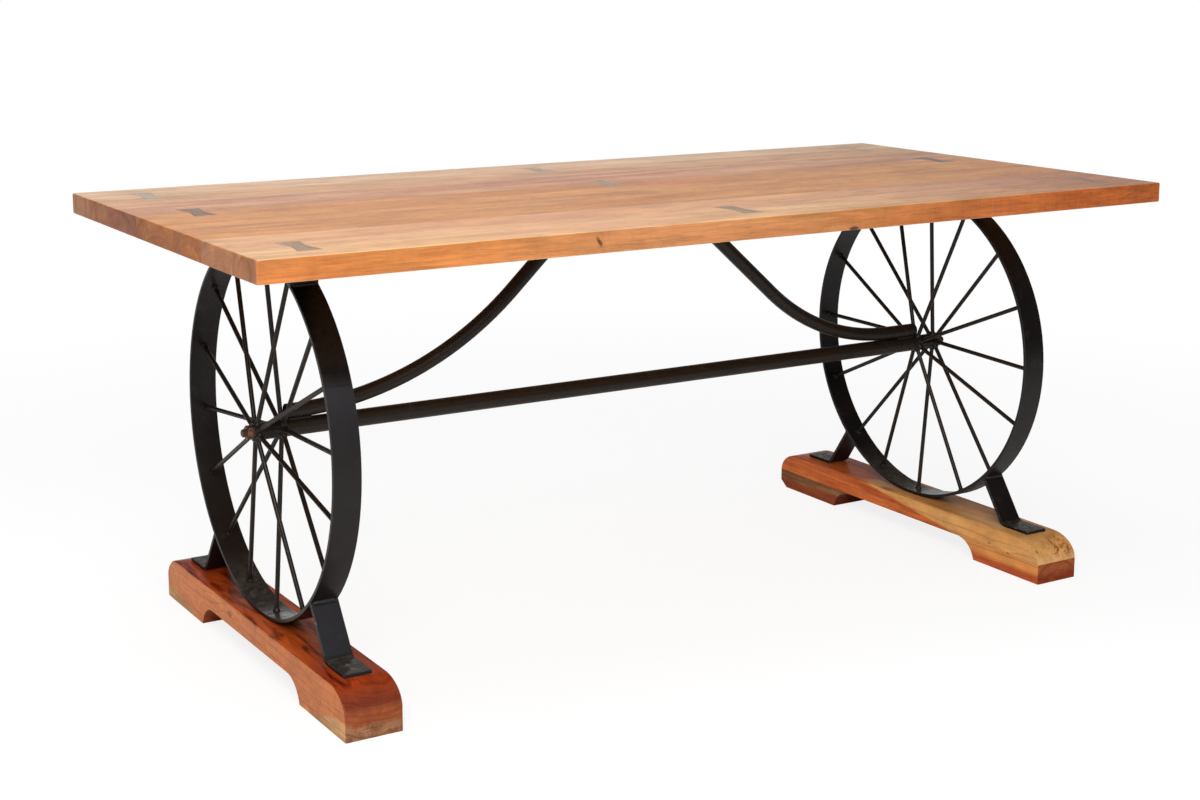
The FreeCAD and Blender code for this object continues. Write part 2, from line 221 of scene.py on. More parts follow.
def timber(name, look):
    # solid wood: rings about a wandering heart line, long streaks, fibres, pores, knots and end grain
    look = {**timberLook, **look}
    material, g = finishGraph(name)
    place = g.node("TexCoord", output="Object")
    facing = g.node("TexCoord", output="Normal")
    x, y, z = g.parts(place)
    alongX = look["grain"] == "x"
    along, across, up = (x, y, z) if alongX else (y, x, z)
    spot = g.node("CombineXYZ", {}, {0: along, 1: across, 2: up})
    seed = look["seed"]

    def layer(scale, offset, **more):
        return g.noise(spot, look[scale], seed + offset, **more)

    # knots pull the rings round them
    pull = 0.0
    knotMask = None
    for knot in look["knots"]:
        away = g.vector("SUBTRACT", spot, knot["at"])
        if "lean" in knot:
            aside, _, above = g.parts(away)
            slope = aside + above * knot["lean"]
            away = g.node("CombineXYZ", {}, {0: slope * 4, 1: 0.0, 2: above})
        far = g.length(g.vector("MULTIPLY", away, (0.45, 1.0, 1.0)))
        pull = g.smooth(far, knot["size"] * 5, 0.0) * knot["size"] * 1.6 + pull
        ragged = far + (layer("knotScale", 4) - 0.5) * knot["size"]
        dark = g.smooth(ragged, knot["size"], knot["size"] * 0.35) * knot.get("dark", 1.0)
        knotMask = dark if knotMask is None else g.maths("MAXIMUM", knotMask, dark)

    sway = layer("swayScale", 1, detail=2) - 0.5
    swell = layer("swayScale", 2, detail=2) - 0.5
    side = across - look["heart"][0] + sway * look["sway"]
    depth = up - look["heart"][1] + swell * look["sway"]
    radius = (side * side + depth * depth) ** 0.5 + pull
    rings = g.bands(radius / look["ringWidth"], seed, detail=2)
    lateWood = g.smooth(rings, 0.50, 0.66)

    broad = layer("streakScale", 3, detail=6, rough=0.62, swirl=0.5)
    thin = layer("thinScale", 8, detail=4, rough=0.6)
    streaks = broad * 0.68 + thin * 0.32
    blotches = layer("blotchScale", 5, detail=3)
    clouds = layer("cloudScale", 9, detail=4, rough=0.6, swirl=0.6) - 0.5
    curl = layer("curlScale", 10, detail=2) - 0.5
    fibres = layer("fibreScale", 6, detail=3, rough=0.65)
    pores = g.smooth(layer("poreScale", 7, detail=1), 0.63, 0.72)

    east, north, upNormal = g.parts(facing)
    alongNormal, acrossNormal = (abs(east), abs(north)) if alongX else (abs(north), abs(east))
    endGrain = g.smooth(alongNormal, 0.12, 0.80)
    sideGrain = g.smooth(acrossNormal, 0.55, 0.95)

    ringShare = look["ringDepth"] + (look["endRings"] - look["ringDepth"]) * endGrain
    body = g.mix(g.smooth(streaks, 0.36, 0.64) * look["streakDepth"], look["pale"], look["deep"])
    body = g.mix(lateWood * ringShare, body, look["ring"])
    fineRings = g.bands(radius / (look["ringWidth"] * 0.3), seed + 3, detail=2) - 0.5
    body = g.mix(g.smooth(blotches, 0.48, 0.72) * look["flushDepth"], body, look["flush"])
    for mask, tone in look["bands"]:
        body = g.mix(mask(g, spot, along, across, up), body, tone(g, streaks, lateWood))

    endTint = look["end"](g, up) if callable(look["end"]) else look["end"]
    body = g.mix(endGrain, body, endTint, "MULTIPLY")
    if "side" in look:
        body = g.mix(sideGrain, body, look["side"](g, along), "MULTIPLY")
    if "upper" in look:
        body = g.mix(g.smooth(upNormal, 0.05, 0.60), body, look["upper"](g, along), "MULTIPLY")
    if knotMask is not None:
        body = g.mix(knotMask * look["knotDepth"], body, look["knotTone"])
    level = 1.0 - (1.0 - fibres) * look["fibreDepth"] - pores * look["poreDepth"]
    level = level + clouds * look["cloudDepth"] + curl * look["curlDepth"]
    # mottle in the wood's tone, growing toward the right end, where it is partly painted shade of the
    # uneven light there
    mottle = layer("mottleScale", 15, detail=3, swirl=2.0) - 0.5
    mottled = look["mottleDepth"] + look["mottleAndShadeRight"] * g.smooth(along, 0.35, 0.80)
    level = level + mottle * mottled
    figure = layer("figureScale", 12, detail=4, rough=0.6, swirl=1.5) - 0.5
    chatter = layer("chatterScale", 13, detail=1) - 0.5
    chattered = look["chatterDepth"] + look["chatterRight"] * g.smooth(along, 0.0, 0.6)
    level = level + (figure * look["figureDepth"] + chatter * chattered) * sideGrain
    level = level + fineRings * look["fineRings"] * endGrain
    # painted shade: a thin darker line on the side faces just under the top's edge
    if "arris" in look:
        under, over = look["arrisShadeBand"]
        arrisShade = g.smooth(up, look["arris"] - under, look["arris"] - over) * sideGrain
        level = level * (1.0 - arrisShade * look["arrisShadeDepth"])
    if "joints" in look:
        low, high = look["joints"]
        gap = g.maths("MINIMUM", abs(across - low), abs(across - high))
        clear = g.smooth(gap, *look["jointBand"])
        level = level * (1.0 - look["jointDepth"] + look["jointDepth"] * clear)
    if "glueLevel" in look:
        clear = g.smooth(abs(up - look["glueLevel"]), *look["glueBand"])
        level = level * (1.0 - look["glueDepth"] + look["glueDepth"] * clear)
    # painted shade: a tint that darkens the wood toward its right end
    if "paintedRightShade" in look:
        body = g.mix(g.smooth(along, -0.1, 0.85), body, look["paintedRightShade"], "MULTIPLY")
    body = g.shaded(body, level)

    roughness = look["roughness"] + (streaks - 0.5) * 0.12 + pores * 0.2 + endGrain * 0.25
    height = fibres * 0.5 - pores + rings * 0.4
    constants = {"Specular IOR Level": look["specular"], "Coat Weight": look["coat"],
                 "Coat Roughness": look["coatRoughness"]}
    closeFinish(g, body, roughness, height, look["bump"], constants)
    return material


def finishNode(node, material):
    # a CAD node keeps its shape and gets a better finish
    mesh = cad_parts[node].data
    mesh.materials.clear()
    mesh.materials.append(material)
    for face in mesh.polygons:
        face.material_index = 0


plankGrain = {
    "grain": "x", "sway": 0.05, "swayScale": (0.8, 3.5, 3.5), "ringWidth": 0.009, "ringDepth": 0.20,
    "endRings": 0.40, "fineRings": 0.25, "streakScale": (2.6, 26, 26), "streakDepth": 0.85,
    "flushDepth": 0.65, "cloudScale": (6, 20, 20), "cloudDepth": 0.85, "figureScale": (13, 40, 70),
    "figureDepth": 0.50, "mottleDepth": 0.15, "mottleAndShadeRight": 0.20, "end": paint(212, 184, 176),
    "specular": 0.2, "coat": 0.12, "roughness": 0.36, "knotTone": paint(70, 38, 22),
}
edgeKnots = [   # in the near edge of the top: along, across, up
    {"at": (-0.338, -0.440, 0.743), "size": 0.011, "lean": 0.55},
    {"at": (0.166, -0.440, 0.727), "size": 0.006},
]
pinKnots = [{"at": (-0.545, 0.150, 0.760), "size": 0.004}]
pinkRightShade = paint(216, 189, 180)       # painted shade: the near planks turn darker and a little pinker toward the right end
paleEnd = paint(230, 210, 202)
warmEnd = paint(218, 184, 160)


def nearEdgeTint(g, along):
    # the sawn near edge took more stain than the face, most of it toward its two ends
    middle = g.mix(g.smooth(along, -0.75, -0.25), paint(244, 198, 148), paint(252, 222, 198))
    return g.mix(g.smooth(along, 0.0, 0.75), middle, paint(270, 214, 150))


# from the near edge to the far one: wood tones and the heart of the tree each plank was cut from
plankLooks = [
    {**woodTones((214, 172, 124), (199, 142, 90), (177, 112, 65), (206, 148, 106)),
     "heart": (-0.392, 0.736), "paintedRightShade": pinkRightShade, "mottleAndShadeRight": 0.45, "knots": edgeKnots,
     "side": nearEdgeTint, "figureScale": (7, 40, 190), "figureDepth": 0.9, "arris": topLevel,
     "chatterRight": 0.16},
    {**woodTones((213, 165, 122), (198, 139, 92), (181, 114, 70), (196, 131, 89)),
     "heart": (-0.30, 0.60), "paintedRightShade": pinkRightShade, "mottleAndShadeRight": 0.45, "end": paleEnd},
    {**woodTones((196, 135, 74), (178, 108, 53), (153, 86, 40), (188, 125, 78)),
     "heart": (-0.17, 0.66), "mottleDepth": 0.40, "end": paleEnd},
    {**woodTones((201, 138, 75), (176, 107, 55), (154, 86, 42), (186, 115, 68)),
     "heart": (-0.02, 0.62), "mottleDepth": 0.40, "end": paleEnd},
    {**woodTones((200, 147, 108), (173, 112, 77), (153, 93, 64), (185, 124, 101)),
     "heart": (0.17, 0.64), "mottleDepth": 0.40, "knots": pinKnots},
    {**woodTones((205, 162, 120), (186, 132, 93), (166, 110, 74), (194, 142, 113)),
     "heart": (0.27, 0.69), "end": warmEnd},
    {**woodTones((214, 177, 142), (198, 156, 120), (177, 129, 95), (208, 167, 138)),
     "heart": (0.385, 0.742), "end": warmEnd},
]


def dressTop():
    for index, look in enumerate(plankLooks):
        node = f"top_plank_{index + 1}"
        low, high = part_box(node)
        place = {"seed": 11.0 + index * 4.7, "joints": (low.y, high.y)}
        finishNode(node, timber(f"plank wood {index + 1}", {**plankGrain, **look, **place}))


# Steel

steelLook = {
    "face": paint(13, 10, 9),
    "brown": paint(22, 15, 12),
    "ground": paint(24, 22, 25),
    "paintedShade": paint(4, 2, 1),
    "edge": paint(52, 46, 42),
    "dustAndSheen": paint(66, 60, 52),
    "chip": paint(150, 142, 132),
    "roughness": 0.42,
    "dustSheenGloss": 0.32,         # the dust film, which is partly a painted sheen, is smoother than the mill skin
    "shadeGloss": 0.14,
    "specular": 0.22,
    "bump": 0.06 * mm,
}
rustLook = {
    "brown": paint(112, 74, 48),
    "dark": paint(42, 28, 20),
    "grit": paint(140, 112, 86),
    "roughness": 0.42,
    "metallic": 0.35,
    "bump": 0.2 * mm,
}


def steel(name, face, worn=0.0, dustSheen=0.0, chipped=0.0, zones=None):
    # blackened bar and tube: faint mill mottling, brown bloom, rubbed edges, painted shade where zones
    # give it, and a lighter film of dust and painted sheen where it lies level
    material, g = finishGraph(name)
    place = g.node("TexCoord", output="Object")
    cloud = g.noise(place, (16, 16, 16), 2, detail=4, rough=0.6)
    bloom = g.noise(place, (34, 34, 34), 5, detail=5, rough=0.7)
    speck = g.noise(place, (900, 900, 900), 9, detail=2)
    scratch = g.noise(place, (60, 700, 60), 12, detail=2)
    colour = g.mix(g.smooth(cloud, 0.40, 0.70) * 0.6, face, steelLook["brown"])
    colour = g.mix(g.smooth(bloom, 0.55, 0.75) * 0.35, colour, steelLook["edge"])
    colour = g.mix(worn, colour, steelLook["edge"])
    if chipped > 0:
        chips = g.smooth(g.noise(place, (330, 330, 330), 14, detail=3, rough=0.6), 0.58, 0.66)
        colour = g.mix(chips * chipped, colour, steelLook["chip"])
    smoother = 0.0
    if zones is not None:
        ground, shadeMask = zones(g, place)
        colour = g.mix(ground, colour, steelLook["ground"])
        # painted shade: near black, and smoother, where the zones put the rim in shade
        colour = g.mix(shadeMask * 0.8, colour, steelLook["paintedShade"])
        smoother = shadeMask * steelLook["shadeGloss"]
    # dust and a painted sheen: a lighter, smoother film on faces that look up
    upNormal = g.parts(g.node("TexCoord", output="Normal"))[2]
    patchNoise = g.noise(place, (80, 80, 80), 16, detail=5, rough=0.65)
    patchy = 0.28 + g.smooth(patchNoise, 0.42, 0.66) * 0.62
    dustAndSheenMask = g.smooth(upNormal, 0.80, 0.98) * patchy * dustSheen
    colour = g.mix(dustAndSheenMask, colour, steelLook["dustAndSheen"])
    roughness = steelLook["roughness"] + (cloud - 0.5) * 0.16 + (speck - 0.5) * 0.10
    roughness = roughness - dustAndSheenMask * steelLook["dustSheenGloss"] - smoother
    height = cloud * 1.5 + speck * 0.3 + scratch * 0.2
    constants = {"Specular IOR Level": steelLook["specular"]}
    closeFinish(g, colour, roughness, height, steelLook["bump"], constants)
    return material


def rustySteel(name):
    material, g = finishGraph(name)
    place = g.node("TexCoord", output="Object")
    patches = g.noise(place, (170, 170, 170), 3, detail=5, rough=0.7)
    grit = g.noise(place, (900, 900, 900), 6, detail=3)
    colour = g.mix(g.smooth(patches, 0.40, 0.58), rustLook["brown"], rustLook["dark"])
    colour = g.mix(g.smooth(grit, 0.55, 0.75) * 0.3, colour, rustLook["grit"])
    roughness = rustLook["roughness"] + (patches - 0.5) * 0.25
    constants = {"Metallic": rustLook["metallic"]}
    closeFinish(g, colour, roughness, patches + grit * 0.6, rustLook["bump"], constants)
    return material


def rimZones(g, place):
    # the near side of the left rim was ground just below its joint and carries painted shade above it,
    # where the top shades it; that of the right rim has a little painted shade at the height of the
    # axle
    east, north, up = g.parts(place)
    near = g.smooth(north, -0.10, -0.20)
    left = g.smooth(east, 0.1, -0.1)
    ground = near * left * g.smooth(up, seamHeight + 4 * mm, seamHeight - 4 * mm)
    ground = ground * g.smooth(up, seamHeight - 0.13, seamHeight - 0.02)
    above = left * g.smooth(up, seamHeight - 2 * mm, seamHeight + 26 * mm)
    level = (1.0 - left) * g.smooth(abs(up - axleHeight - 0.01), 0.11, 0.03) * 0.55
    return ground, near * (above + level)


blackSteel = steel("blackened steel", steelLook["face"])
rimSteel = steel("rim steel", steelLook["face"], dustSheen=1.0, zones=rimZones)
tubeSteel = steel("tube steel", paint(28, 19, 10))
strapSteel = steel("strap steel", steelLook["face"], dustSheen=0.7)
blueSteel = steel("blued strap steel", paint(22, 22, 27), dustSheen=1.0)
edgeSteel = steel("rubbed steel edge", steelLook["face"], worn=0.6)
strapEdge = steel("chipped strap edge", steelLook["face"], worn=0.5, chipped=0.6)
weldSteel = steel("weld bead", paint(26, 23, 22))
rust = rustySteel("rusty nut")
stud = steel("stud steel", paint(66, 48, 38), worn=0.1)
screwSteel = steel("screw steel", paint(92, 86, 80), worn=0.15)


def smoothByAngle(form, degrees):
    limit = math.radians(degrees)
    for face in form.faces:
        face.smooth = True
    for edge in form.edges:
        edge.smooth = len(edge.link_faces) == 2 and edge.calc_face_angle(0) < limit


def finishPiece(name, form, kind, materials, *nodes, slot="black_steel"):
    # turns a bmesh into a piece of the table; every face keeps its material number
    smoothByAngle(form, smoothAngles[kind])
    mesh = bpy.data.meshes.new(name)
    form.to_mesh(mesh)
    form.free()
    piece = bpy.data.objects.new(name, mesh)
    bpy.context.scene.collection.objects.link(piece)
    for material in materials:
        mesh.materials.append(material)
    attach(piece, "root")
    if nodes:
        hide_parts(*nodes)
    return piece


edgeRadii = {"bar": 0.9 * mm, "tube": 0.6 * mm, "plate": 0.8 * mm, "key": 0.45 * mm}


def easedCopy(node, edge, finish, edgeFinish=edgeSteel, **more):
    # the node's own shape with its sharp edges rounded, edge faces in their own finish
    form = bmesh.new()
    form.from_mesh(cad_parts[node].data)
    bmesh.ops.remove_doubles(form, verts=form.verts, dist=mergeReach)
    for face in form.faces:
        face.material_index = 0
    sharp = [line for line in form.edges
             if len(line.link_faces) == 2 and line.calc_face_angle(0) > math.radians(sharpAngle)]
    bmesh.ops.bevel(form, geom=sharp, offset=edgeRadii[edge], segments=2, profile=0.5,
                    affect="EDGES", clamp_overlap=True, material=1)
    piece = finishPiece(f"{node}_eased", form, "eased", [finish, edgeFinish], node, **more)
    weighted = piece.modifiers.new("flat faces stay flat", "WEIGHTED_NORMAL")
    weighted.keep_sharp = True
    weighted.weight = 100


def ringOf(form, centre, across, beside, radii):
    # a ring of vertices about centre, one for each radius, in the plane of across and beside
    ring = []
    for i, radius in enumerate(radii):
        turn = 2 * math.pi / len(radii) * i
        outward = across * math.cos(turn) + beside * math.sin(turn)
        ring.append(form.verts.new(centre + outward * radius))
    return ring


def skin(form, rings, closed=False):
    # joins each ring to the next, and the last to the first where the row is closed
    pairs = zip(rings, rings[1:] + rings[:1]) if closed else zip(rings, rings[1:])
    for first, second in pairs:
        for i in range(len(first)):
            j = (i + 1) % len(first)
            form.faces.new((first[i], first[j], second[j], second[i]))


def capped(form, rings):
    form.faces.new(rings[0][::-1])
    form.faces.new(rings[-1])


def sideways(direction):
    # two directions square to one another and to direction
    helper = Vector((0, 0, 1)) if abs(direction.z) < 0.8 else Vector((0, 1, 0))
    across = direction.cross(helper).normalized()
    return across, direction.cross(across)


# Weld beads

weldLook = {
    "sides": 10,
    "ripple": 3.4 * mm,      # length of one ripple of a bead
    "rippleDepth": 0.09,
    "jitter": 0.40,          # unevenness, as a share of the ripple's depth
    "strap": 5.5 * mm,       # radii of the beads
    "strapBack": 2.6 * mm,
    "strut": 2.8 * mm,
    "crown": 3.0 * mm,
    "brace": 2.8 * mm,
    "plate": 3.2 * mm,
    "joint": 3.4 * mm,
    "jointRise": 0.6 * mm,   # how far the rim's own joint stands proud
    "jointRipple": 0.02,
    "inset": 1.5 * mm,       # from the end of a bead to the edge of the bar
    "sunk": 0.25,            # where a bead's middle lies off the rim, as a share of its radius
    "braceStart": 1.0 * mm,
    "braceRun": 46 * mm,
    "braceAside": 6.2 * mm,  # beside the line in which brace and stretcher touch
    "plateSides": 72,
    "plateDrop": 1 * mm,
    "collar": [(0.3, 6.6), (1.5, 6.2), (2.8, 5.3), (4.3, 4.4), (5.6, 3.7)],   # mm up a spoke, radius
    "collarSides": 14,
    "collarSwell": 6 * mm,   # above this a collar is round
    "tipDepth": 1.0 * mm,    # how far a collar reaches into rim or hub
    "rootDepth": 2.4 * mm,
}


def bead(form, path, radius, closed=False, rippleDepth=weldLook["rippleDepth"]):
    # a rippled ridge of weld along a row of points
    rings = []
    count = len(path)
    run = 0.0
    for i, point in enumerate(path):
        before = path[i - 1] if i or closed else path[0]
        after = path[(i + 1) % count] if i < count - 1 or closed else path[-1]
        across, beside = sideways((after - before).normalized())
        ripple = 1.0 - rippleDepth * abs(math.sin(math.pi * run / weldLook["ripple"]))
        taper = 1.0 if closed else max(0.35, 1.0 - abs(2 * i / (count - 1) - 1) ** 10)
        jitter = rippleDepth * weldLook["jitter"]
        radii = [radius * ripple * taper * (1 + chance.uniform(-1, 1) * jitter)
                 for _ in range(weldLook["sides"])]
        rings.append(ringOf(form, point, across, beside, radii))
        run += (after - point).length
    skin(form, rings, closed)
    if not closed:
        capped(form, rings)


def straightPath(start, end):
    count = max(6, round((end - start).length / (weldLook["ripple"] / 4)))
    return [start.lerp(end, i / count) for i in range(count + 1)]


def acrossBar(side, y, z):
    # the line across a wheel's bar at one place in its plane
    middle = side * wheelX
    half = barWidth / 2 - weldLook["inset"]
    return straightPath(Vector((middle - half, y, z)), Vector((middle + half, y, z)))


def islands(form):
    # the separate bodies in a mesh, as lists of vertices, in the same order each run
    waiting = dict.fromkeys(form.verts)
    while waiting:
        group = [waiting.popitem()[0]]
        for vertex in group:
            for edge in vertex.link_edges:
                other = edge.other_vert(vertex)
                if other in waiting:
                    del waiting[other]
                    group.append(other)
        yield group


def fromAxle(point):
    return math.hypot(point.y, point.z - axleHeight)


def middleOf(points):
    return sum(points, Vector()) / len(points)


def spokeLines(node):
    # root and tip of every spoke in a node, in turn about the axle
    form = bmesh.new()
    form.from_mesh(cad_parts[node].data)
    bmesh.ops.remove_doubles(form, verts=form.verts, dist=mergeReach)
    lines = []
    for group in islands(form):
        points = [vertex.co for vertex in group]
        nearest = min(fromAxle(point) for point in points)
        farthest = max(fromAxle(point) for point in points)
        root = middleOf([point for point in points if fromAxle(point) < nearest + touch * 2])
        tip = middleOf([point for point in points if fromAxle(point) > farthest - touch * 2])
        lines.append((root, tip))
    form.free()
    return sorted(lines, key=lambda line: math.atan2(line[1].z - axleHeight, line[1].y))


def collar(form, foot, direction, depth):
    # weld drawn up round a spoke from the metal it stands on
    across, beside = sideways(direction)
    sides = weldLook["collarSides"]
    lumps = [1 + chance.uniform(-0.10, 0.12) for _ in range(sides)]
    stations = [(-depth, weldLook["collar"][0][1] * mm)]
    stations += [(height * mm, radius * mm) for height, radius in weldLook["collar"]]
    rings = []
    for height, radius in stations:
        swell = max(0.0, 1 - height / weldLook["collarSwell"])
        radii = [radius * (1 + (lump - 1) * swell) for lump in lumps]
        rings.append(ringOf(form, foot + direction * height, across, beside, radii))
    skin(form, rings)
    capped(form, rings)


def weldSpokes(side):
    form = bmesh.new()
    for setName in ("outer", "inner"):
        for root, tip in spokeLines(f"{side}_{setName}_spokes"):
            run = (tip - root).normalized()
            collar(form, root, run, weldLook["rootDepth"])
            collar(form, tip, -run, weldLook["tipDepth"])
    finishPiece(f"{side}_spoke_welds", form, "weld", [weldSteel])


def seamAngles(node):
    # the two angles about the axle at which a bar meets the outside of the rim
    points = [vertex.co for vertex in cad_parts[node].data.vertices]
    angles = [math.atan2(point.z - axleHeight, point.y) for point in points
              if abs(fromAxle(point) - rimRadius) < touch]
    return sorted((min(angles), max(angles)), key=lambda angle: abs(angle + math.pi / 2))


def weldWheel(side):
    sign = wheelSides[side]
    form = bmesh.new()
    for end, endSign in footEnds.items():
        under, outer = seamAngles(f"{side}_{end}_strap")
        seams = [(under, weldLook["strapBack"]), (outer, weldLook["strap"])]
        seams += [(angle, weldLook["strut"]) for angle in seamAngles(f"{side}_{end}_strut")]
        for angle, radius in seams:
            reach = rimRadius + radius * weldLook["sunk"]
            y, z = math.cos(angle) * reach, axleHeight + math.sin(angle) * reach
            bead(form, acrossBar(sign, y, z), radius)
        strutLow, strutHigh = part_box(f"{side}_{end}_strut")
        for y in (strutLow.y, strutHigh.y):
            bead(form, acrossBar(sign, y, strutHigh.z), weldLook["strut"])
        crown = weldLook["crown"]
        y = endSign * math.sqrt(2 * rimRadius * crown * 0.8)
        bead(form, acrossBar(sign, y, axleHeight + rimRadius - crown * 0.5), crown)
    finishPiece(f"{side}_wheel_welds", form, "weld", [weldSteel])


def weldJoint():
    # a low ridge, inside and out, where the left rim's bar meets itself
    form = bmesh.new()
    joint, rise = weldLook["joint"], weldLook["jointRise"]
    for reach in (rimRadius + rise - joint, rimInner - rise + joint):
        y = -math.sqrt(reach ** 2 - (seamHeight - axleHeight) ** 2)
        path = acrossBar(wheelSides["left"], y, seamHeight)
        bead(form, path, joint, rippleDepth=weldLook["jointRipple"])
    finishPiece("left_rim_joint", form, "weld", [rimSteel])


def weldBrace(side):
    # along both sides of the brace's open end and round its head
    sign = wheelSides[side]
    form = bmesh.new()
    low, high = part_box(f"{side}_brace")
    foot = low.x if sign < 0 else high.x
    contact = axleHeight + hubRadius
    for y in (-weldLook["braceAside"], weldLook["braceAside"]):
        start = Vector((foot - sign * weldLook["braceStart"], y, contact))
        end = start - Vector((sign * weldLook["braceRun"], 0, 0))
        bead(form, straightPath(start, end), weldLook["brace"])
    points = [vertex.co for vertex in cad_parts[f"{side}_brace"].data.vertices
              if vertex.co.z > high.z - touch]
    middle = middleOf(points)
    reach = max((point - middle).length for point in points)
    half = max(abs(point.y) for point in points)
    count = weldLook["plateSides"]
    level = high.z - weldLook["plateDrop"]
    path = []
    for i in range(count):
        angle = 2 * math.pi * i / count
        path.append(Vector((middle.x + math.cos(angle) * reach, math.sin(angle) * half, level)))
    bead(form, path, weldLook["plate"], closed=True)
    finishPiece(f"{side}_brace_welds", form, "weld", [weldSteel])


# Threads and screws

rodThread = {
    "pitch": 2.0 * mm, "depth": 1.1 * mm, "run": 24 * mm, "sides": 32, "steps": 8, "chamfer": 1.5 * mm,
}
screwLook = {
    "pitch": 2.2 * mm, "sides": 12, "steps": 4, "head": 4.75 * mm, "shank": 2.5 * mm, "core": 1.6 * mm,
    "slotHalf": 0.85 * mm, "slotReach": 3.0 * mm, "slotDepth": 2.2 * mm, "point": 7 * mm,
    "plain": 5 * mm, "panRise": 2.5 * mm, "sunkDepth": 3.0 * mm,
}


def threadRings(form, start, run, length, look, radiusAt):
    # rings along a threaded shank; radiusAt(distance, crest) gives the radius, crest going from 0 to 1
    across, beside = sideways(run)
    pitch, sides = look["pitch"], look["sides"]
    count = round(length / (pitch / look["steps"]))
    rings = []
    for i in range(count + 1):
        distance = length * i / count
        radii = []
        for k in range(sides):
            turn = (distance / pitch - k / sides) % 1.0
            crest = min(1.0, max(0.0, abs(turn * 2 - 1) * 1.3 - 0.1))
            radii.append(radiusAt(distance, crest))
        rings.append(ringOf(form, start + run * distance, across, beside, radii))
    return rings


def threadRod():
    # the tie rod: plain in the middle, threaded where the nuts run
    low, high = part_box("tie_rod")
    radius = (high.z - low.z) / 2
    run = rodThread["run"]
    form = bmesh.new()

    def radiusAt(distance, crest):
        fromEnd = run - distance
        thread = radius - rodThread["depth"] * (1 - crest) * min(1.0, distance / rodThread["pitch"])
        return min(thread, radius - rodThread["chamfer"] + fromEnd)

    for x, direction in ((low.x, -1), (high.x, 1)):
        ahead = Vector((direction, 0, 0))
        start = Vector((x - direction * run, 0, axleHeight))
        rings = threadRings(form, start, ahead, run, rodThread, radiusAt)
        skin(form, rings)
        form.faces.new(rings[-1])
        across, beside = sideways(ahead)
        middle = ringOf(form, Vector((0, 0, axleHeight)), across, beside, [radius] * rodThread["sides"])
        skin(form, [middle, rings[0]])
    bmesh.ops.remove_doubles(form, verts=form.verts, dist=mergeReach * 2)
    bmesh.ops.recalc_face_normals(form, faces=form.faces)
    finishPiece("threaded_tie_rod", form, "thread", [stud], "tie_rod", slot="nut_steel")


def crossOutline():
    # the cross recess of a screw: 24 points in turn, as (across, beside)
    half, reach = screwLook["slotHalf"], screwLook["slotReach"]
    corners = []
    for quarter in range(4):
        cosine, sine = math.cos(math.pi / 2 * quarter), math.sin(math.pi / 2 * quarter)
        for x, y in ((reach, -half), (reach, half), (half, half)):
            corners.append((x * cosine - y * sine, x * sine + y * cosine))
    outline = []
    for first, second in zip(corners, corners[1:] + corners[:1]):
        outline.append(first)
        outline.append(((first[0] + second[0]) / 2, (first[1] + second[1]) / 2))
    return outline


def addScrew(form, seat, drive, length, rise):
    # one screw driven along drive from its seat; rise is how far its head stands out
    across, beside = sideways(drive)
    outline = crossOutline()
    bearings = [math.atan2(y, x) for x, y in outline]

    def loop(radius, level):
        middle = seat - drive * level
        return [form.verts.new(middle + (across * math.cos(a) + beside * math.sin(a)) * radius)
                for a in bearings]

    def cross(scale, level):
        middle = seat - drive * level
        return [form.verts.new(middle + (across * x + beside * y) * scale) for x, y in outline]

    head = screwLook["head"]
    if rise > 0:
        rings = [loop(screwLook["core"], 0.0), loop(head * 0.97, 0.0), loop(head, rise * 0.25),
                 loop(head * 0.96, rise * 0.6), loop(head * 0.82, rise * 0.88), loop(head * 0.62, rise)]
    else:
        rings = [loop(screwLook["core"], -screwLook["sunkDepth"]), loop(head * 0.97, -0.25 * mm),
                 loop(head, -0.05 * mm), loop(head * 0.90, 0.0), loop(head * 0.62, 0.1 * mm)]
    rings += [cross(1.0, rise), cross(0.55, rise - screwLook["slotDepth"])]
    skin(form, rings)
    form.faces.new(rings[-1])
    core, shank = screwLook["core"], screwLook["shank"]

    def radiusAt(distance, crest):
        body = core + (shank - core) * (crest if distance > screwLook["plain"] else 1.0)
        return body * max(0.04, min(1.0, (length - distance) / screwLook["point"]))

    under = 0.0 if rise > 0 else screwLook["sunkDepth"]
    length -= under
    shankRings = threadRings(form, seat + drive * under, drive, length, screwLook, radiusAt)
    skin(form, shankRings)
    capped(form, shankRings)


def makeScrews(node, name, rise, drive):
    # as many screws as the node has, each where its own body stands
    form = bmesh.new()
    source = bmesh.new()
    source.from_mesh(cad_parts[node].data)
    bmesh.ops.remove_doubles(source, verts=source.verts, dist=mergeReach)
    bodies = []
    for group in islands(source):
        heights = [vertex.co.z for vertex in group]
        spot = middleOf([Vector((vertex.co.x, vertex.co.y, 0)) for vertex in group])
        bodies.append((round(spot.x, 5), round(spot.y, 5), min(heights), max(heights)))
    source.free()
    for x, y, low, high in sorted(bodies):
        seatLevel = high if drive.z < 0 else low + rise
        length = high - low - rise
        addScrew(form, Vector((x, y, seatLevel)), drive, length, rise)
    bmesh.ops.recalc_face_normals(form, faces=form.faces)
    finishPiece(name, form, "screw", [screwSteel], node)


sideParts = [
    ("rim", "bar", rimSteel), ("hub", "tube", blackSteel), ("top_bar", "bar", blackSteel),
    ("brace_plate", "plate", blackSteel), ("brace", "tube", tubeSteel),
]


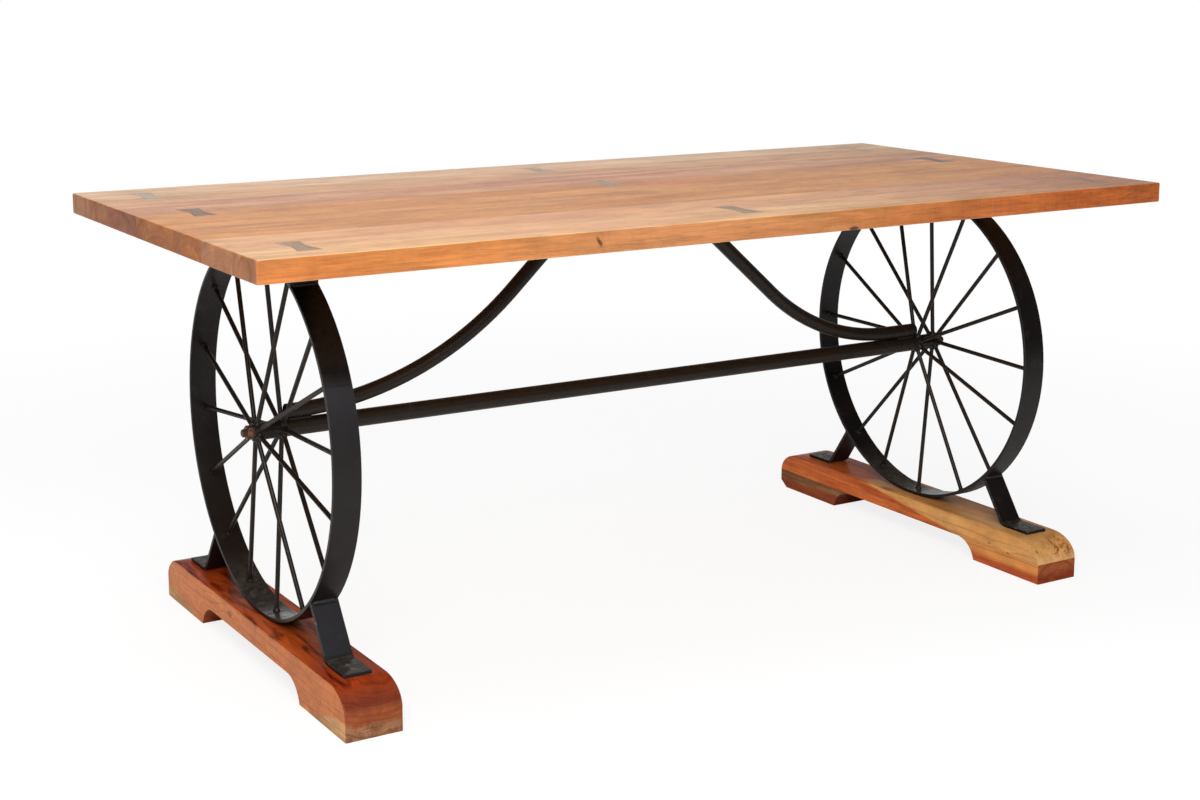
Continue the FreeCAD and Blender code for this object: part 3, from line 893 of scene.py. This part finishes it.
def dressSteel():
    for side in wheelSides:
        for part, edge, finish in sideParts:
            easedCopy(f"{side}_{part}", edge, finish)
        easedCopy(f"{side}_nut", "tube", rust, rust, slot="nut_steel")
        for spokes in ("outer_spokes", "inner_spokes"):
            finishNode(f"{side}_{spokes}", tubeSteel)
        for end in footEnds:
            finish = blueSteel if (side, end) == ("left", "near") else strapSteel
            easedCopy(f"{side}_{end}_strap", "bar", finish, strapEdge)
            easedCopy(f"{side}_{end}_strut", "bar", blackSteel)
        weldSpokes(side)
        weldWheel(side)
        weldBrace(side)
    easedCopy("stretcher", "tube", tubeSteel)
    weldJoint()
    threadRod()
    down, upward = Vector((0, 0, -1)), Vector((0, 0, 1))
    makeScrews("strap_screws", "countersunk_screws", 0.0, down)
    makeScrews("top_bar_screws", "top_bar_pan_screws", screwLook["panRise"], upward)
    makeScrews("brace_plate_screws", "plate_pan_screws", screwLook["panRise"], upward)


# Feet and keys

def tones(low, high, *pair):
    # the colour of a band: one tone runs into another along the streaks
    first, second = (paint(*tone) for tone in pair)
    return lambda g, streaks, lateWood: g.mix(g.smooth(streaks, low, high), first, second)


def upTint(low, high, *pair):
    # an end's tint that changes between two heights
    first, second = (paint(*tone) for tone in pair)
    return lambda g, up: g.mix(g.smooth(up, low, high), first, second)


def leftUpperTint(g, along):
    # the upper side of the left foot is redder toward its ends
    outer = g.mix(g.smooth(along, -0.1, 0.1), paint(178, 122, 106), paint(196, 138, 111))
    return g.mix(g.smooth(abs(along + 0.05), 0.13, 0.25), paint(219, 172, 136), outer)


def leftSideTint(g, along):
    # its sides are a little paler toward the far end
    return g.mix(g.smooth(along, 0.10, -0.25), paint(262, 261, 253), paint(246, 245, 246))


def rightUpperTint(g, along):
    # the golden end of the right foot took less stain
    return g.mix(g.smooth(along, -0.24, -0.12), paint(234, 236, 234), paint(217, 208, 199))


def sapEdge(g, spot, along, across, up):
    # pale sapwood along the lower edges of the left foot's blocks, higher toward the ends
    outward = g.smooth(abs(along), 0.20, 0.40)
    wave = g.wander(spot, (9, 22, 22), 31, 0.022, detail=3)
    outside = g.smooth(across, -wheelX - 0.025, -wheelX - 0.047) * 0.009
    reach = outward * (0.021 - g.smooth(along, -0.1, 0.1) * 0.009 + outside)
    frayed = g.wander(spot, (30, 60, 90), 33, 0.016, detail=4, rough=0.7)
    return g.smooth(0.001 + reach + wave + frayed - up, -0.003, 0.006)


def sapTone(g, streaks, lateWood):
    lines = g.mix(g.smooth(streaks, 0.44, 0.60), paint(216, 168, 112), paint(176, 126, 76))
    return g.mix(lateWood * 0.7, lines, paint(150, 106, 64))


def figureOnTop(g, up, patches, low, depth):
    nearTop = g.smooth(up, beamHigh.z - 8 * mm, beamHigh.z - 1 * mm)
    return nearTop * g.smooth(patches, low, 0.66) * depth


def emberFigure(g, spot, along, across, up):
    # dark figure in patches on top of the left foot
    patches = g.noise(spot, (7, 52, 52), 47, detail=5, rough=0.65, swirl=0.9)
    return figureOnTop(g, up, patches, 0.46, 0.85)


def amberFigure(g, spot, along, across, up):
    # bright streaks between them
    patches = g.noise(spot, (9, 64, 64), 49, detail=4, rough=0.6, swirl=0.9)
    return figureOnTop(g, up, patches, 0.54, 0.80)


def heartwoodPart(g, spot, along, across, up):
    # the right beam turns from gold to red beyond a line that slants down toward the near end
    border = -0.19 + (up - beamLow.z) * (0.30 / (beamHigh.z - beamLow.z))
    wave = g.wander(spot, (5, 16, 16), 53, 0.10, detail=4, rough=0.6)
    return g.smooth(along - border + wave, -0.012, 0.030)


def burlMarks(g, spot, along, across, up):
    # a cluster of small brown marks in the right foot's golden nose
    away = g.vector("SUBTRACT", spot, (-0.392, wheelX + 0.018, 0.062))
    far = g.length(g.vector("MULTIPLY", away, (0.6, 0.75, 1.3)))
    swirl = g.noise(spot, (80, 105, 105), 59, detail=3, rough=0.6, swirl=1.5)
    return g.smooth(swirl, 0.44, 0.62) * g.smooth(far, 0.038, 0.012)


def palePatch(g, spot, along, across, up):
    # a paler, greyer part low in the same nose
    wave = g.wander(spot, (20, 40, 40), 61, 0.014, detail=3)
    return g.smooth(up + wave, 0.056, 0.048) * g.smooth(along, -0.355, -0.385) * 0.7


def blushLow(g, spot, along, across, up):
    # the right near block turns from gold to red toward the floor
    wave = g.wander(spot, (7, 18, 18), 71, 0.020, detail=3)
    return g.smooth(up + wave, 0.028, 0.008)


def greyStripe(g, spot, along, across, up):
    # the upper half of the right far block is grey
    wave = g.wander(spot, (12, 40, 40), 67, 0.022, detail=4, rough=0.65)
    return g.smooth(up + wave, 0.016, 0.028) * 0.85


footGrain = {
    "grain": "y", "sway": 0.03, "swayScale": (3.0, 12, 12), "ringWidth": 0.006, "ringDepth": 0.35,
    "endRings": 0.35, "fineRings": 0.45, "streakScale": (6, 55, 55), "streakDepth": 0.60,
    "flushDepth": 0.5, "cloudScale": (16, 34, 34), "cloudDepth": 0.55, "figureScale": (60, 60, 60),
    "figureDepth": 0.30, "end": paint(225, 190, 180), "specular": 0.06, "coat": 0.0,
    "roughness": 0.30, "knotTone": paint(60, 30, 22),
}
leftFootLook = {
    **footGrain, **woodTones((208, 126, 68), (188, 98, 48), (142, 66, 36), (176, 84, 50)),
    "seed": 61.0, "heart": (-wheelX + 0.02, 0.24), "upper": leftUpperTint, "side": leftSideTint,
    "ringWidth": 0.0045, "figureDepth": 0.60, "streakDepth": 0.50,
    "end": upTint(0.042, 0.066, (168, 154, 170), (202, 230, 310)),
    "knots": [
        {"at": (0.136, -0.738, 0.079), "size": 0.010, "dark": 0.7},
        {"at": (0.083, -0.7635, 0.060), "size": 0.008, "dark": 0.6},
    ],
    "bands": [
        (sapEdge, sapTone),
        (amberFigure, tones(0.42, 0.58, (244, 150, 70), (224, 120, 52))),
        (emberFigure, tones(0.42, 0.58, (120, 52, 30), (70, 26, 18))),
    ],
}
rightFootLook = {
    **footGrain, **woodTones((216, 162, 98), (194, 132, 72), (160, 96, 48), (206, 140, 78)),
    "seed": 83.0, "heart": (wheelX + 0.04, -0.16), "upper": rightUpperTint,
    "end": paint(255, 255, 255), "glueLevel": beamLow.z, "endRings": 0.06, "fineRings": 0.15,
    "knots": [
        {"at": (0.052, wheelX - 0.043, 0.0795), "size": 0.009, "dark": 0.6},
        {"at": (-0.265, 0.6665, 0.0467), "size": 0.003, "dark": 0.6},
        {"at": (-0.316, 0.6665, 0.0402), "size": 0.003, "dark": 0.6},
        {"at": (-0.391, 0.672, 0.0620), "size": 0.004, "dark": 0.7},
    ],
    "bands": [
        (heartwoodPart, tones(0.38, 0.62, (206, 112, 56), (170, 78, 38))),
        (palePatch, tones(0.4, 0.6, (206, 162, 112), (188, 142, 94))),
        (burlMarks, tones(0.4, 0.6, (166, 98, 48), (136, 72, 36))),
    ],
}
rightBlockLook = {
    **footGrain, "seed": 97.0, "heart": (wheelX, -0.02), "glueLevel": beamLow.z, "endRings": 0.55,
    "end": upTint(0.008, 0.026, (178, 158, 166), (178, 146, 156)),
}
nearBlockLook = {
    **rightBlockLook, **woodTones((214, 148, 82), (194, 117, 59), (124, 54, 30), (190, 110, 56)),
    "bands": [(blushLow, tones(0.38, 0.62, (196, 104, 56), (166, 76, 42)))],
}
farBlockLook = {
    **rightBlockLook, **woodTones((150, 74, 40), (118, 52, 28), (124, 54, 30), (104, 44, 26)),
    "bands": [(greyStripe, tones(0.40, 0.60, (152, 110, 72), (104, 72, 46)))],
}


def paleKeys(g, spot, along, across, up):
    # the keys of the far row are paler and greyer, and the middle one of the middle row a little
    middle = g.smooth(abs(along - 0.085), 0.14, 0.10) * g.smooth(abs(across), 0.6, 0.4) * 0.5
    return g.smooth(along, 0.20, 0.30) * 0.8 + middle


def darkKeys(g, spot, along, across, up):
    # the outer keys of the middle row are darker
    return g.smooth(abs(along - 0.085), 0.14, 0.10) * g.smooth(abs(across), 0.4, 0.6) * 0.7


def rightKey(low, high, share):
    # the right key of the row that lies beyond low
    return lambda g, spot, along, across, up: (
        g.smooth(along, low, high) * g.smooth(across, 0.6, 0.7) * share)


keyLook = {
    **footGrain, **woodTones((148, 124, 98), (122, 100, 78), (100, 80, 64), (140, 112, 88)),
    "seed": 131.0, "heart": (0.02, 0.70),
    "bands": [
        (paleKeys, tones(0.36, 0.64, (174, 156, 138), (152, 138, 122))),
        (darkKeys, tones(0.36, 0.64, (112, 87, 70), (90, 69, 56))),
        (rightKey(-0.25, -0.30, 0.45), tones(0.36, 0.64, (150, 108, 76), (124, 86, 60))),
        (rightKey(0.25, 0.30, 0.65), tones(0.36, 0.64, (190, 150, 112), (166, 126, 92))),
    ],
}


def seamFinish(name, tone):
    # glue and polish that has gathered in a fine groove
    material, g = finishGraph(name)
    grit = g.noise(g.node("TexCoord", output="Object"), (900, 900, 900), 4, detail=2)
    closeFinish(g, g.mix(grit, tone, paint(20, 14, 10)), 0.6 + (grit - 0.5) * 0.3, grit, 0.05 * mm, {})
    return material


def dressFeet():
    left = timber("left foot wood", leftFootLook)
    for part in ("foot_beam", "near_foot_block", "far_foot_block"):
        finishNode(f"left_{part}", left)
    finishNode("right_foot_beam", timber("right foot wood", rightFootLook))
    finishNode("right_near_foot_block", timber("right near block wood", nearBlockLook))
    finishNode("right_far_foot_block", timber("right far block wood", farBlockLook))


def dressKeys():
    keyWood = timber("key wood", keyLook)
    keySeam = seamFinish("key seam", paint(74, 56, 44))
    easedCopy("butterfly_keys", "key", keyWood, keySeam, slot="key_wood")


# Floor, light and camera

studio = {
    "floorTone": (0.92, 0.92, 0.92, 1.0),
    "floorReach": 70.0,            # half the floor's width; its far edge lies above the picture
    "shadowShare": 0.17,           # how much of the floor's own shading shows beside the table
    "shadowReach": (0.9, 3.2),     # the share fades out between these distances from the middle
    "skyLight": 0.36,
    "backdropHeading": (0.42, 0.91),
    "backdrop": (0.80, 0.60),      # what polished surfaces see of its left and right parts
    "backdropTop": (0.12, 0.50),   # sine of the elevations between which it ends
    "roomBehind": 0.05,            # and of the rest of the room
    "keyLight": {"place": (-1.5, -2.9, 2.3), "aim": (-0.2, -0.2, 0.5), "width": 2.4, "power": 150.0},
    "topLight": {"place": (-0.6, 0.4, 3.0), "aim": (0.0, 0.0, 0.7), "width": 3.0, "power": 50.0},
}
cameraLook = {
    "place": (-1.8751, -2.9469, 1.1866),
    "turn": 31.67,                 # degrees from +Y toward +X
    "dip": 9.91,
    "roll": 0.135,
    "lens": 57.59,
    "sensor": 36,
    "shift": (-0.0037, -0.0946),
    "reach": 200,
}


def rayKinds(g):
    # 1 for rays that come straight from the camera, and 1 for mirrored or refracted ones
    path = g.node("LightPath").socket.node.outputs
    straight, mirrored, through = (Wire(g, path[name]) for name in
                                   ("Is Camera Ray", "Is Glossy Ray", "Is Transmission Ray"))
    return straight, g.maths("MAXIMUM", mirrored, through)


def towardBackdrop(east, north):
    heading = studio["backdropHeading"]
    return east * heading[0] + north * heading[1]


def makeFloor():
    form = bmesh.new()
    bmesh.ops.create_grid(form, x_segments=8, y_segments=8, size=studio["floorReach"])
    mesh = bpy.data.meshes.new("floor")
    form.to_mesh(mesh)
    form.free()
    floor = bpy.data.objects.new("floor", mesh)
    bpy.context.scene.collection.objects.link(floor)
    material, g = finishGraph("floor")
    place = g.node("TexCoord", output="Object")
    inner, outer = studio["shadowReach"]
    plain = 1.0 - g.smooth(g.length(place), outer, inner) * studio["shadowShare"]
    lit = g.node("BsdfDiffuse", {}, {"Color": studio["floorTone"]})
    white = g.node("Emission", {}, {"Color": (1, 1, 1, 1), "Strength": 1.0})
    straight, mirrored = rayKinds(g)
    east, north, _ = g.parts(place)
    shown = mirrored * g.smooth(towardBackdrop(east, north), 0.0, 3.0)
    share = g.maths("MAXIMUM", straight, shown) * plain
    surface = g.node("MixShader", {}, {0: share, 1: lit, 2: white})
    g.node("OutputMaterial", {}, {"Surface": surface})
    mesh.materials.append(material)


def makeSky():
    world = bpy.data.worlds.new("studio")
    bpy.context.scene.world = world
    world.use_nodes = True
    g = Graph(world.node_tree)
    east, north, height = g.parts(g.node("TexCoord", output="Generated"))
    ahead = towardBackdrop(east, north)
    aside = towardBackdrop(0.0 - north, east)
    brim, top = studio["backdropTop"]
    panel = g.smooth(aside, -0.75, -0.30) * g.smooth(ahead, 0.1, 0.7) * g.smooth(height, top, brim)
    bright, dim = studio["backdrop"]
    fall = bright + (dim - bright) * g.smooth(aside, -0.15, 0.5)
    backdrop = studio["roomBehind"] + fall * panel
    straight, mirrored = rayKinds(g)
    strength = g.maths("MAXIMUM", studio["skyLight"] * (1.0 - mirrored) + backdrop * mirrored, straight)
    sky = g.node("Background", {}, {"Color": (1, 1, 1, 1), "Strength": strength})
    g.node("OutputWorld", {}, {"Surface": sky})


def softLamp(name, look):
    lamp = bpy.data.lights.new(name, "AREA")
    lamp.shape = "RECTANGLE"
    lamp.size = look["width"]
    lamp.size_y = look["width"] * 0.7
    lamp.energy = look["power"]
    holder = bpy.data.objects.new(name, lamp)
    bpy.context.scene.collection.objects.link(holder)
    holder.location = look["place"]
    toward = Vector(look["aim"]) - Vector(look["place"])
    holder.rotation_euler = toward.to_track_quat("-Z", "Y").to_euler()


def makeCamera():
    lens = bpy.data.cameras.new("camera")
    lens.lens = cameraLook["lens"]
    lens.sensor_width = cameraLook["sensor"]
    lens.shift_x, lens.shift_y = cameraLook["shift"]
    lens.clip_end = cameraLook["reach"]
    camera = bpy.data.objects.new("camera", lens)
    bpy.context.scene.collection.objects.link(camera)
    camera.location = cameraLook["place"]
    turn, dip, roll = (math.radians(cameraLook[angle]) for angle in ("turn", "dip", "roll"))
    aim = Matrix.Rotation(-turn, 4, "Z") @ Matrix.Rotation(math.pi / 2 - dip, 4, "X")
    camera.rotation_euler = (aim @ Matrix.Rotation(roll, 4, "Z")).to_euler()
    bpy.context.scene.camera = camera


print("top")
dressTop()
print("feet and keys")
dressFeet()
dressKeys()
print("steel")
dressSteel()
print("floor, light and camera")
makeFloor()
makeSky()
softLamp("key light", studio["keyLight"])
softLamp("top light", studio["topLight"])
makeCamera()
bpy.context.scene.view_settings.view_transform = "Standard"

print("done")
